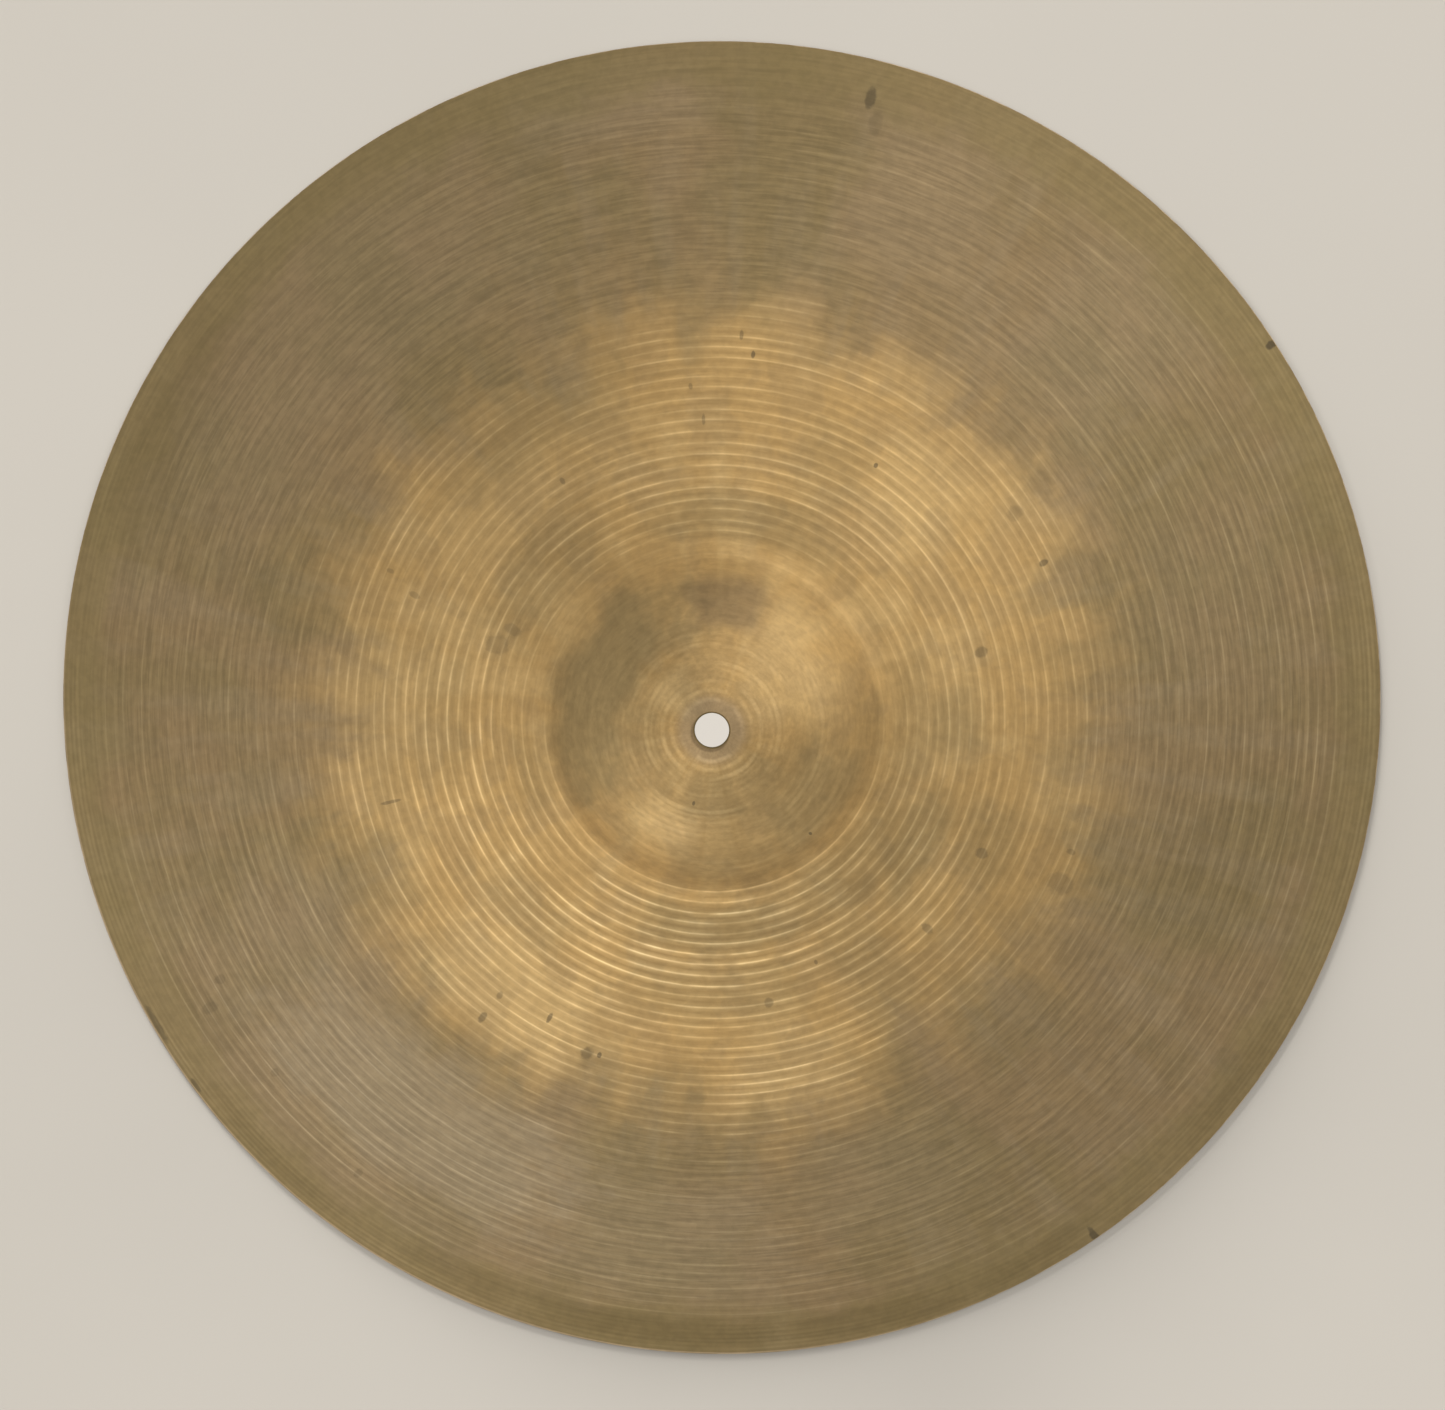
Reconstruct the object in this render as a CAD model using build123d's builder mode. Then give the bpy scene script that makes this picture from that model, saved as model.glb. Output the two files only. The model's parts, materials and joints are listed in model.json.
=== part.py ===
"""Crash cymbal: one thin spun and hammered bronze disc with a raised bell.

The cymbal stands in its playing attitude, bell up, and rests on its rim.
The origin is the centre of the rim's plane and +Z is the axis of the disc.
All sizes are in millimetres.
"""

import os
from math import asin, atan2, cos, degrees, hypot, radians, sin, sqrt

from build123d import *

# ---- Driving dimensions ------------------------------------------------------

cymbal_diameter = 457.2      # 18 inch crash
bell_diameter = 114.0        # where the bell's dome runs into the bow
bore_diameter = 11.1         # mounting hole for the stand's sleeve

bow_rise = 28.0              # from the rim's plane to the top face at the bell's foot
bell_rise = 22.5             # from the bell's foot to the top of the bell's dome
bow_foot_slope = 2.5         # degrees: the bow's fall where it leaves the bell

bell_wall = 1.4              # bronze thickness over the bell
rim_wall = 0.7               # bronze thickness at the rim

foot_blend = 14.0            # radius of the hollow round the bell's foot, top face
bore_lip = 0.5               # rounding of the bore's upper edge
bore_break = 0.15            # rounding of the bore's lower edge
rim_round = 0.25             # rounding of the rim's two edges
rim_land = 0.8               # width of the flat dressed ring that the rim rests on


# ---- Shape of the section ----------------------------------------------------
# Section points are (distance from the axis, height above the rim's plane).

cymbal_radius = cymbal_diameter / 2
bell_radius = bell_diameter / 2
bore_radius = bore_diameter / 2

# The bell is a spherical dome, with the same centre for its two faces.
dome_radius = (bell_radius**2 + bell_rise**2) / (2 * bell_rise)
dome_centre = bow_rise + bell_rise - dome_radius
bell_foot_slope = degrees(asin(bell_radius / dome_radius))


def dome_height(face_radius, distance):
    """Height of a bell face at a distance from the axis."""
    return dome_centre + sqrt(face_radius**2 - distance**2)


def bow_arc(foot, rim):
    """Arc of a bow face: it leaves the foot at the foot's slope and steepens to the rim."""
    chord = hypot(rim[0] - foot[0], foot[1] - rim[1])
    chord_slope = degrees(atan2(foot[1] - rim[1], rim[0] - foot[0]))
    half_turn = radians(chord_slope - bow_foot_slope)
    return RadiusArc(foot, rim, chord / (2 * sin(half_turn)))


bore_top = (bore_radius, dome_height(dome_radius, bore_radius))
foot_top = (bell_radius, bow_rise)
rim_top = (cymbal_radius, rim_wall)
rim_base = (cymbal_radius, 0)
land_edge = (cymbal_radius - rim_land, 0)

# Under the foot the two lower faces meet on the line that halves the corner.
foot_bisector = radians((bell_foot_slope + bow_foot_slope) / 2)
foot_half_corner = radians((bell_foot_slope - bow_foot_slope) / 2)
foot_wall = bell_wall / cos(foot_half_corner)
foot_under = (
    bell_radius - foot_wall * sin(foot_bisector),
    bow_rise - foot_wall * cos(foot_bisector),
)
bore_base = (bore_radius, dome_height(dome_radius - bell_wall, bore_radius))


# ---- The cymbal --------------------------------------------------------------

with BuildPart() as cymbal:
    with BuildSketch(Plane.XZ) as section:
        with BuildLine():
            RadiusArc(bore_top, foot_top, dome_radius)
            bow_arc(foot_top, rim_top)
            Line(rim_top, rim_base)
            Line(rim_base, land_edge)
            bow_arc(foot_under, land_edge)
            RadiusArc(bore_base, foot_under, dome_radius - bell_wall)
            Line(bore_base, bore_top)
        make_face()

        def corner(point):
            """The section's corner at a point."""
            return section.sketch_local.vertices().sort_by_distance(point)[0]

        fillet(corner(foot_top), radius=foot_blend)
        fillet(corner(foot_under), radius=foot_blend + bell_wall)
        fillet(corner(bore_top), radius=bore_lip)
        fillet(corner(bore_base), radius=bore_break)
        fillet([corner(rim_top), corner(rim_base)], radius=rim_round)
    revolve(axis=Axis.Z)

cymbal.part.label = "cymbal"

os.makedirs("parts", exist_ok=True)
export_step(cymbal.part, "parts/cymbal.step")
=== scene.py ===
import json
import math

import bpy
import numpy as np
from bpy.props import FloatProperty, FloatVectorProperty, IntProperty, PointerProperty
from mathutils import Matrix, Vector


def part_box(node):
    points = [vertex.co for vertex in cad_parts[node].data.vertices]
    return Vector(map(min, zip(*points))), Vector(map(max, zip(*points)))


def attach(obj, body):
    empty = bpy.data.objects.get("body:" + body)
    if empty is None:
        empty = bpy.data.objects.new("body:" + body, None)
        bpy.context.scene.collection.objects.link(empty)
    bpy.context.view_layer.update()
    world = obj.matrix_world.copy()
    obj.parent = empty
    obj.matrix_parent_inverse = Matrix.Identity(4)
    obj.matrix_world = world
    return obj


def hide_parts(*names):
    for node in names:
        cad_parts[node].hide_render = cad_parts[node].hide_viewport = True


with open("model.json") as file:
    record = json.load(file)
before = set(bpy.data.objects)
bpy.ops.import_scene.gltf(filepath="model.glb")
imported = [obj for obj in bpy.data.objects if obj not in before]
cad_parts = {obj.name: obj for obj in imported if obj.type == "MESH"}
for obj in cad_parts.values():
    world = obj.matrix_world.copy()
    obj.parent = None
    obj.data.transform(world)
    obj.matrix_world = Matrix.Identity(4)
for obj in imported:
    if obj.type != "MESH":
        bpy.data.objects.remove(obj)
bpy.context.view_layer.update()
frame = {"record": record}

bl_info = {
    "name": "Crash cymbal",
    "version": (1, 0, 0),
    "blender": (4, 5, 0),
    "location": "3D View > Sidebar > Cymbal",
    "description": "Builds an aged bronze crash cymbal with lathed tonal grooves, and a plain stage",
    "category": "Add Mesh",
}

NODE = "cymbal"
MM = 0.001

DISC_LOW, DISC_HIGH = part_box(NODE)
DISC_RADIUS = DISC_HIGH[0]
DISC_HEIGHT = DISC_HIGH[2] - DISC_LOW[2]
HOLE = next(m for m in frame["record"]["mounts"] if m["name"] == "centre_hole")
HOLE_RADIUS = HOLE["dims"]["r_mm"] * MM


# ---- Settings ----------------------------------------------------------------


def metres(name, description, default):
    return FloatProperty(name=name, description=description, default=default, unit="LENGTH")


def colour(name, description, default):
    return FloatVectorProperty(
        name=name, description=description, default=default, size=3,
        subtype="COLOR", min=0.0, max=1.0)


class CymbalShape(bpy.types.PropertyGroup):
    """Sizes of the bronze section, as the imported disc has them."""

    bell_diameter: metres("Bell diameter", "Where the dome runs into the bow", 0.114)
    bow_rise: metres("Bow rise", "Height of the top face at the bell's foot", 0.028)
    bell_rise: metres("Bell rise", "Height of the dome's crown above the bell's foot", 0.0225)
    bow_foot_slope: FloatProperty(
        name="Slope at the foot", description="Fall of the bow where it leaves the bell",
        default=math.radians(2.5), unit="ROTATION")
    bell_wall: metres("Bell wall", "Bronze thickness over the bell", 0.0014)
    rim_wall: metres("Rim wall", "Bronze thickness at the rim", 0.0007)
    foot_blend: metres("Foot blend", "Radius of the hollow round the bell's foot", 0.014)
    bore_lip: metres("Hole lip", "Rounding of the hole's upper edge", 0.0005)
    bore_break: metres("Hole break", "Rounding of the hole's lower edge", 0.00015)
    rim_round: metres("Rim rounding", "Rounding of the rim's two edges", 0.00025)
    rim_land: metres("Rim land", "Width of the flat ring under the rim", 0.0008)


class CymbalLathe(bpy.types.PropertyGroup):
    """Sizes of the lathe's grooves and the hammer's marks."""

    groove_start: metres("First groove", "Radius where the tonal grooves begin", 0.0565)
    groove_pitch: metres("Groove pitch", "Spacing of the tonal grooves", 0.00365)
    groove_depth: metres("Groove depth", "Depth of the grooves next to the bell", 0.00011)
    outer_depth: metres("Outer groove depth", "Depth of the grooves next to the rim", 0.00005)
    under_pitch: metres("Underside pitch", "Spacing of the grooves on the lower face", 0.0046)
    hammer_depth: metres("Hammer depth", "Depth of a hammer mark", 0.00007)
    hammer_marks: IntProperty(
        name="Hammer marks", description="Number of hammer marks on the bow", default=420)
    around: IntProperty(
        name="Steps around", description="Mesh steps round the disc", default=240)


class CymbalFinish(bpy.types.PropertyGroup):
    """Colours of the aged bronze and of the stage."""

    gold: colour("Golden bronze", "Cleaner bronze round the bell", (0.515, 0.333, 0.134))
    # Pale worn bronze; in the pale areas it also serves as painted highlight.
    pale_gold_and_highlight: colour("Pale gold", "Brightest worn bronze", (0.610, 0.422, 0.190))
    umber: colour("Umber patina", "Pinkish-brown patina of the outer bow", (0.332, 0.233, 0.117))
    # Olive patina; on the bell it also serves as painted shade.
    olive_patina_and_shade: colour("Olive patina", "Greenish patina of the outer bow and bell", (0.297, 0.218, 0.103))
    grey: colour("Grey patina", "Silvery haze on the patina", (0.390, 0.304, 0.188))
    stain: colour("Stain", "Dark spots of dried drips", (0.13, 0.095, 0.045))
    # Brown mark; on the top of the bell it serves as painted shade.
    brown_mark_and_shade: colour("Brown mark", "Dark brown-grey mark on the bell", (0.235, 0.165, 0.088))
    mauve: colour("Felt mark", "Dull disc left by the felts", (0.37, 0.285, 0.19))
    rim_olive: colour("Rim patina", "Plainer olive band beside the rim", (0.30, 0.226, 0.099))
    tarnish: colour("Tarnish", "Dark brown tarnish along the rim", (0.19, 0.135, 0.055))
    # Bare bronze; on the top face's lower left rim it also serves as a painted highlight.
    edge: colour("Worn edge", "Bare bronze on the rim", (0.58, 0.44, 0.28))
    floor: colour("Floor", "Pale floor", (0.372, 0.352, 0.323))


class CymbalStage(bpy.types.PropertyGroup):
    """Camera and light."""

    eye: FloatVectorProperty(
        name="Camera place", description="Where the camera stands",
        default=(0.020, 0.0636, 0.6912), size=3, subtype="TRANSLATION")
    lean: FloatVectorProperty(
        name="Camera lean", description="Turn of the camera from straight down",
        default=(math.radians(-4.94), math.radians(1.48), 0.0), size=3, subtype="EULER")
    lens: FloatProperty(
        name="Lens", description="Focal length in millimetres", default=49.8)
    sky: FloatProperty(name="Room light", description="Strength of the even light", default=0.66)
    key: FloatProperty(name="Window", description="Power of the soft window light", default=11.0)
    side: FloatProperty(name="Side light", description="Power of the second light", default=8.0)
    low_sun: FloatProperty(
        name="Low light", description="Strength of the low light", default=9.0)


# ---- Section of the disc -----------------------------------------------------


class Face:
    """One face of the section: a dome, a hollow blend and a bow, as height by radius."""

    def __init__(self, dome_radius, dome_centre, foot, rim, slope, blend):
        chord = math.hypot(rim[0] - foot[0], foot[1] - rim[1])
        chord_slope = math.atan2(foot[1] - rim[1], rim[0] - foot[0])
        bow_radius = chord / (2 * math.sin(chord_slope - slope))
        bow_centre = Vector((
            foot[0] - bow_radius * math.sin(slope),
            foot[1] - bow_radius * math.cos(slope)))
        dome_place = Vector((0.0, dome_centre))

        # The blend's circle touches both arcs from above.
        reach_dome = dome_radius + blend
        reach_bow = bow_radius + blend
        apart = bow_centre - dome_place
        span = apart.length
        along = (reach_dome**2 - reach_bow**2 + span**2) / (2 * span)
        off = math.sqrt(reach_dome**2 - along**2)
        unit = apart / span
        across = Vector((-unit.y, unit.x))
        if across.x < 0:
            across = -across
        self.blend_centre = dome_place + along * unit + off * across
        self.dome_radius, self.dome_centre = dome_radius, dome_centre
        self.bow_radius, self.bow_centre = bow_radius, bow_centre
        self.blend = blend
        self.inner = (self.blend_centre - dome_place).x * dome_radius / reach_dome
        toward = (self.blend_centre - bow_centre) * (bow_radius / reach_bow)
        self.outer = bow_centre.x + toward.x

    def height(self, radius):
        r = np.asarray(radius, dtype=float)
        dome = self.dome_centre + np.sqrt(np.maximum(self.dome_radius**2 - r**2, 0))
        blend = self.blend_centre.y - np.sqrt(
            np.maximum(self.blend**2 - (r - self.blend_centre.x) ** 2, 0))
        bow = self.bow_centre.y + np.sqrt(
            np.maximum(self.bow_radius**2 - (r - self.bow_centre.x) ** 2, 0))
        return np.where(r < self.inner, dome, np.where(r > self.outer, bow, blend))


def disc_faces(shape):
    """The upper and lower faces of the section."""
    bell = shape.bell_diameter / 2
    dome_radius = (bell**2 + shape.bell_rise**2) / (2 * shape.bell_rise)
    dome_centre = shape.bow_rise + shape.bell_rise - dome_radius
    bell_slope = math.asin(bell / dome_radius)
    upper = Face(
        dome_radius, dome_centre, (bell, shape.bow_rise), (DISC_RADIUS, shape.rim_wall),
        shape.bow_foot_slope, shape.foot_blend)
    middle = (bell_slope + shape.bow_foot_slope) / 2
    wall = shape.bell_wall / math.cos((bell_slope - shape.bow_foot_slope) / 2)
    foot = (bell - wall * math.sin(middle), shape.bow_rise - wall * math.cos(middle))
    lower = Face(
        dome_radius - shape.bell_wall, dome_centre, foot,
        (DISC_RADIUS - shape.rim_land, 0.0), shape.bow_foot_slope,
        shape.foot_blend + shape.bell_wall)
    return upper, lower


# ---- Relief: grooves, turned rings, hammer marks -----------------------------


def wander(rng, waves, low, high):
    """A smooth closed curve round the disc, between about -1 and 1."""
    counts = rng.integers(low, high, waves)
    phases = rng.uniform(0, 2 * math.pi, waves)
    sizes = rng.uniform(0.4, 1.0, waves)

    def curve(angle, shift=0.0):
        parts = [s * np.sin(n * angle + p + shift * (1 + 0.3 * i))
                 for i, (n, p, s) in enumerate(zip(counts, phases, sizes))]
        return np.sum(parts, axis=0) / sizes.sum()

    return curve


# Where the mesh has rows across a groove, as shares of its width.
GROOVE_PLACES = (0.0, 0.13, 0.5, 0.87)

# The smoother band beside the rim: its width, the pitch of its grooves, and their depths
# at its inner and outer side. The lower face's grooves have their own two depths.
RIM_BAND = 13 * MM
BAND_PITCH = 1.9 * MM
BAND_DEPTHS = (0.012 * MM, 0.006 * MM)
UNDER_DEPTHS = (0.05 * MM, 0.03 * MM)

# Clear rings on the bell: radius in millimetres and strength.
CROWN_RINGS = ((10.0, 0.24), (13.0, 0.28), (16.0, 0.36), (21.7, 0.34), (27.5, 0.24), (36.0, 0.22))


def grooves(rng, start, stop, pitch, depth_in, depth_out, places=GROOVE_PLACES):
    """Radius, cut and ridge share of round-nosed grooves with sharp ridges between them."""
    r = start
    while r < stop:
        share = (r - start) / (stop - start)
        width = pitch * rng.uniform(0.88, 1.12) * (1 - 0.12 * share)
        depth = (depth_in + (depth_out - depth_in) * share) * rng.uniform(0.7, 1.3)
        bright = rng.uniform(0.5, 1.0)
        for u in places:
            hollow = 1 - (2 * u - 1) ** 2
            yield r + u * width, depth * hollow, bright * (1 - hollow) ** 2
        r += width


def hammer_field(rng, count, depth):
    """Shallow dents spread over the bow."""
    centres = []
    for _ in range(count):
        r = DISC_RADIUS * math.sqrt(rng.uniform(0.10, 0.94))
        a = rng.uniform(0, 2 * math.pi)
        centres.append((r * math.cos(a), r * math.sin(a), rng.uniform(5.5, 9.5) * MM,
                        depth * rng.uniform(0.35, 1.0)))

    def dents(x, y):
        total = np.zeros_like(x)
        for cx, cy, size, deep in centres:
            near = ((x - cx) ** 2 + (y - cy) ** 2) / size**2
            total -= deep * np.exp(-near) * (near < 9)
        return total

    return dents


# ---- The disc's mesh ---------------------------------------------------------

TOP, EDGE, UNDER = 0, 1, 2
GROOVE_DRIFT = 0.22 * MM
RIDGE = "ridge"


def section_rows(shape, lathe, rng):
    """Rows of the closed section: radius, height, groove cut, ridge, looseness, finish."""
    upper, lower = disc_faces(shape)
    rows = []

    def row(radius, height, cut=0.0, ridge=0.0, loose=0.0, finish=EDGE):
        rows.append((radius, float(height), cut, ridge, loose, finish))

    def skin(face, radius, cut=0.0, ridge=0.0, loose=0.0):
        finish = TOP if face is upper else UNDER
        row(radius, face.height(radius), cut, ridge, loose, finish)

    lip, brk, rnd = shape.bore_lip, shape.bore_break, shape.rim_round
    bore_low = float(lower.height(HOLE_RADIUS))
    bore_high = float(upper.height(HOLE_RADIUS + lip))

    # Hole wall and its two rounded edges, upwards.
    for turn in np.radians((0, 45, 90)):
        row(HOLE_RADIUS + brk * (1 - math.sin(turn)), bore_low + brk * (1 - math.cos(turn)))
    row(HOLE_RADIUS, bore_high - lip)
    for turn in np.radians((25, 50, 72, 90)):
        row(HOLE_RADIUS + lip * (1 - math.cos(turn)), bore_high - lip * (1 - math.sin(turn)))

    # Bell: clear turned rings, with faint ones between them.
    skin(upper, HOLE_RADIUS + lip + 0.9 * MM, 0.0, 0.0, 0.3)
    ends = [middle * MM for middle, _ in CROWN_RINGS[1:]] + [upper.inner - 1 * MM]
    for (middle, ridge), end in zip(CROWN_RINGS, ends):
        for offset, crest in ((-1.0, 0.0), (-0.3, ridge), (0.3, ridge), (1.0, 0.0)):
            cut = 0.0 if crest else 0.010 * MM
            skin(upper, (middle + offset) * MM, cut, crest, 0.8)
        ring = (middle + 1.6) * MM
        while ring < end - 1.6 * MM:
            width = rng.uniform(1.6, 3.0) * MM
            skin(upper, ring, 0.0, rng.uniform(0.0, 0.2), 0.4)
            if ring + 0.5 * width < end - 1.2 * MM:
                skin(upper, ring + 0.5 * width, rng.uniform(0.002, 0.010) * MM, 0.0, 0.4)
            ring += width
    for r in np.linspace(upper.inner, lathe.groove_start - 0.5 * MM, 4):
        skin(upper, r, 0.0, 0.0, 0.5)

    # Bow: tonal grooves as far as the smoother rim band.
    band = DISC_RADIUS - RIM_BAND
    for r, cut, ridge in grooves(
            rng, lathe.groove_start, band, lathe.groove_pitch, lathe.groove_depth,
            lathe.outer_depth):
        skin(upper, r, cut, ridge, 1.0)
    edge = DISC_RADIUS - rnd
    for r, cut, ridge in grooves(
            rng, rows[-1][0] + 0.6 * MM, edge - 1.2 * MM, BAND_PITCH, *BAND_DEPTHS,
            places=(0.0, 0.5)):
        if r < edge - 0.5 * MM:
            skin(upper, r, cut, 0.5 * ridge, 0.4)

    # Rim: upper rounding, narrow wall, lower rounding, flat land.
    skin(upper, edge - 0.25 * MM)
    rim_high = float(upper.height(edge))
    for turn in np.radians((90, 55, 25, 0)):
        row(edge + rnd * math.cos(turn), rim_high - rnd * (1 - math.sin(turn)))
    for turn in np.radians((0, 45, 90)):
        row(edge + rnd * math.cos(turn), rnd * (1 - math.sin(turn)))
    land = DISC_RADIUS - shape.rim_land
    row(land, 0.0)

    # Lower face, inwards.
    under = list(grooves(
        rng, lower.outer + 1.5 * MM, land - 2.5 * MM, lathe.under_pitch, *UNDER_DEPTHS,
        places=(0.0, 0.5, 0.84)))
    for r, cut, ridge in reversed(under):
        if r < land - 0.8 * MM:
            skin(lower, r, -cut, ridge, 1.0)
    for r in np.linspace(lower.outer, lower.inner, 7):
        skin(lower, r, 0.0, 0.1, 0.4)
    for r in np.linspace(lower.inner - 2 * MM, HOLE_RADIUS + brk + 1 * MM, 20):
        skin(lower, r, 0.0, 0.1, 0.3)
    return rows


def build_disc(shape, lathe):
    rng = np.random.default_rng(18)
    rows = section_rows(shape, lathe, rng)
    radius, height, cut, ridge, loose, finish = (np.array(v)[:, None] for v in zip(*rows))
    count, around = len(rows), lathe.around
    angle = np.arange(around)[None, :] * (2 * math.pi / around)

    # Grooves wander a little and fade in and out round the disc, on the face they lie on.
    drift = wander(rng, 5, 2, 9)
    fade = wander(rng, 6, 1, 7)
    steps = radius + loose * GROOVE_DRIFT * drift(angle, radius / (14 * MM))
    upper, lower = disc_faces(shape)
    surface = np.where(finish == TOP, upper.height(steps), lower.height(steps))
    surface = np.where(finish == EDGE, height, surface)
    strength = 1 + 0.32 * fade(angle, radius / (25 * MM))
    x, y = steps * np.cos(angle), steps * np.sin(angle)
    dents = hammer_field(rng, lathe.hammer_marks, lathe.hammer_depth)
    z = surface - cut * strength + loose * dents(x, y)
    z = np.clip(z, 0.0, DISC_HEIGHT)

    points = np.stack((x, y, z), axis=-1).reshape(-1, 3)
    i = np.arange(count)[:, None] * around
    j = ((np.arange(count) + 1) % count)[:, None] * around
    a = np.arange(around)[None, :]
    b = (a + 1) % around
    quads = np.stack((i + a, j + a, j + b, i + b), axis=-1).reshape(-1, 4)

    mesh = bpy.data.meshes.new("turned_disc")
    mesh.from_pydata(points.tolist(), [], quads.tolist())
    starts = finish[:, 0].astype(np.int32)
    ends = np.roll(starts, -1)
    kinds = np.where(starts == EDGE, ends, starts)
    mesh.polygons.foreach_set("material_index", np.repeat(kinds, around))
    crest = mesh.attributes.new(RIDGE, "FLOAT", "POINT")
    crest.data.foreach_set("value", (ridge * strength).astype(np.float32).ravel())
    mesh.polygons.foreach_set("use_smooth", np.ones(len(mesh.polygons), dtype=bool))
    mesh.update()
    return mesh


# ---- Shader helpers ----------------------------------------------------------


def add(tree, kind, **settings):
    node = tree.nodes.new(kind)
    for name, value in settings.items():
        setattr(node, name, value)
    return node


def feed(tree, socket, value):
    """Links an output to a socket, or sets the socket's own value."""
    if isinstance(value, bpy.types.NodeSocket):
        tree.links.new(value, socket)
    elif value is not None:
        socket.default_value = value


def maths(tree, operation, a, b=None, c=None):
    node = add(tree, "ShaderNodeMath", operation=operation)
    for socket, value in zip(node.inputs, (a, b, c)):
        feed(tree, socket, value)
    return node.outputs[0]


def vector_maths(tree, operation, a, b=None, scale=None):
    node = add(tree, "ShaderNodeVectorMath", operation=operation)
    feed(tree, node.inputs[0], a)
    if b is not None:
        feed(tree, node.inputs[1], b)
    if scale is not None:
        feed(tree, node.inputs["Scale"], scale)
    return node.outputs["Value" if operation == "LENGTH" else "Vector"]


def facing(tree, direction, way):
    """How far a direction from the axis points a given way."""
    node = add(tree, "ShaderNodeVectorMath", operation="DOT_PRODUCT")
    feed(tree, node.inputs[0], direction)
    feed(tree, node.inputs[1], way)
    return node.outputs["Value"]


def ramp(tree, value, low, high, to_low=0.0, to_high=1.0, smooth=True):
    node = add(tree, "ShaderNodeMapRange",
               interpolation_type="SMOOTHSTEP" if smooth else "LINEAR")
    for name, v in (("Value", value), ("From Min", low), ("From Max", high),
                    ("To Min", to_low), ("To Max", to_high)):
        feed(tree, node.inputs[name], v)
    return node.outputs["Result"]


def swing(tree, value, amount, start):
    """Adds a share of a mask's swing about its middle to a starting value."""
    return maths(tree, "MULTIPLY_ADD", maths(tree, "SUBTRACT", value, 0.5), amount, start)


def blend(tree, share, first, second, mode="MIX"):
    node = add(tree, "ShaderNodeMix", data_type="RGBA", blend_type=mode, clamp_factor=True)
    feed(tree, node.inputs[0], share)
    for socket, value in ((node.inputs[6], first), (node.inputs[7], second)):
        if not isinstance(value, bpy.types.NodeSocket):
            value = (*value, 1.0)[:4]
        feed(tree, socket, value)
    return node.outputs[2]


def noise(tree, vector, scale, detail=2.0, rough=0.5, w=None, distortion=0.0):
    node = add(tree, "ShaderNodeTexNoise", noise_dimensions="3D" if w is None else "4D")
    feed(tree, node.inputs["Vector"], vector)
    if w is not None:
        feed(tree, node.inputs["W"], w)
    for name, v in (("Scale", scale), ("Detail", detail), ("Roughness", rough),
                    ("Distortion", distortion)):
        feed(tree, node.inputs[name], v)
    return node.outputs["Fac"]


def new_group(name, inputs, outputs):
    """An empty node group with named sockets, and its input and output nodes."""
    tree = bpy.data.node_groups.new(name, "ShaderNodeTree")
    for label, kind, value in inputs:
        socket = tree.interface.new_socket(label, in_out="INPUT", socket_type=kind)
        if value is not None:
            socket.default_value = value
    for label, kind in outputs:
        tree.interface.new_socket(label, in_out="OUTPUT", socket_type=kind)
    return tree, add(tree, "NodeGroupInput"), add(tree, "NodeGroupOutput")


def use(tree, group, **values):
    """Places a group in a tree, with its values by socket name."""
    node = add(tree, "ShaderNodeGroup", node_tree=group)
    for name, value in values.items():
        feed(tree, node.inputs[name.replace("_", " ")], value)
    return node.outputs


FLOAT, VECTOR = "NodeSocketFloat", "NodeSocketVector"


def disc_place_group():
    """Where a point lies on the disc: its radius, angle and direction from the axis."""
    tree, _, out = new_group(
        "Disc place", [],
        [("Place", VECTOR), ("Radius", FLOAT), ("Angle", FLOAT), ("Direction", VECTOR)])
    place = add(tree, "ShaderNodeTexCoord").outputs["Object"]
    flat = vector_maths(tree, "MULTIPLY", place, (1.0, 1.0, 0.0))
    parts = add(tree, "ShaderNodeSeparateXYZ")
    feed(tree, parts.inputs[0], flat)
    feed(tree, out.inputs["Place"], flat)
    feed(tree, out.inputs["Radius"], vector_maths(tree, "LENGTH", flat))
    feed(tree, out.inputs["Angle"], maths(tree, "ARCTAN2", parts.outputs[1], parts.outputs[0]))
    feed(tree, out.inputs["Direction"], vector_maths(tree, "NORMALIZE", flat))
    return tree


def lathe_line_group():
    """Fine turned lines: quick along the radius, slow round the disc."""
    tree, given, out = new_group(
        "Lathe lines",
        [("Radius", FLOAT, 0.1), ("Direction", VECTOR, None), ("Spacing", FLOAT, 0.001),
         ("Breakup", FLOAT, 2.0)],
        [("Lines", FLOAT)])
    turns = maths(tree, "DIVIDE", given.outputs["Radius"], given.outputs["Spacing"])
    spread = vector_maths(tree, "SCALE", given.outputs["Direction"], scale=given.outputs["Breakup"])
    feed(tree, out.inputs["Lines"], noise(tree, spread, 1.0, 2.0, 0.6, w=turns))
    return tree


def spoke_streak_group():
    """Streaks that run along the radius, like drips wiped outwards."""
    tree, given, out = new_group(
        "Spoke streaks",
        [("Radius", FLOAT, 0.1), ("Direction", VECTOR, None), ("Spokes", FLOAT, 10.0),
         ("Length", FLOAT, 0.05), ("Detail", FLOAT, 3.0)],
        [("Streaks", FLOAT)])
    along = maths(tree, "DIVIDE", given.outputs["Radius"], given.outputs["Length"])
    spread = vector_maths(tree, "SCALE", given.outputs["Direction"], scale=given.outputs["Spokes"])
    streaks = noise(tree, spread, 1.0, given.outputs["Detail"], 0.55, w=along)
    feed(tree, out.inputs["Streaks"], streaks)
    return tree


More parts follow.
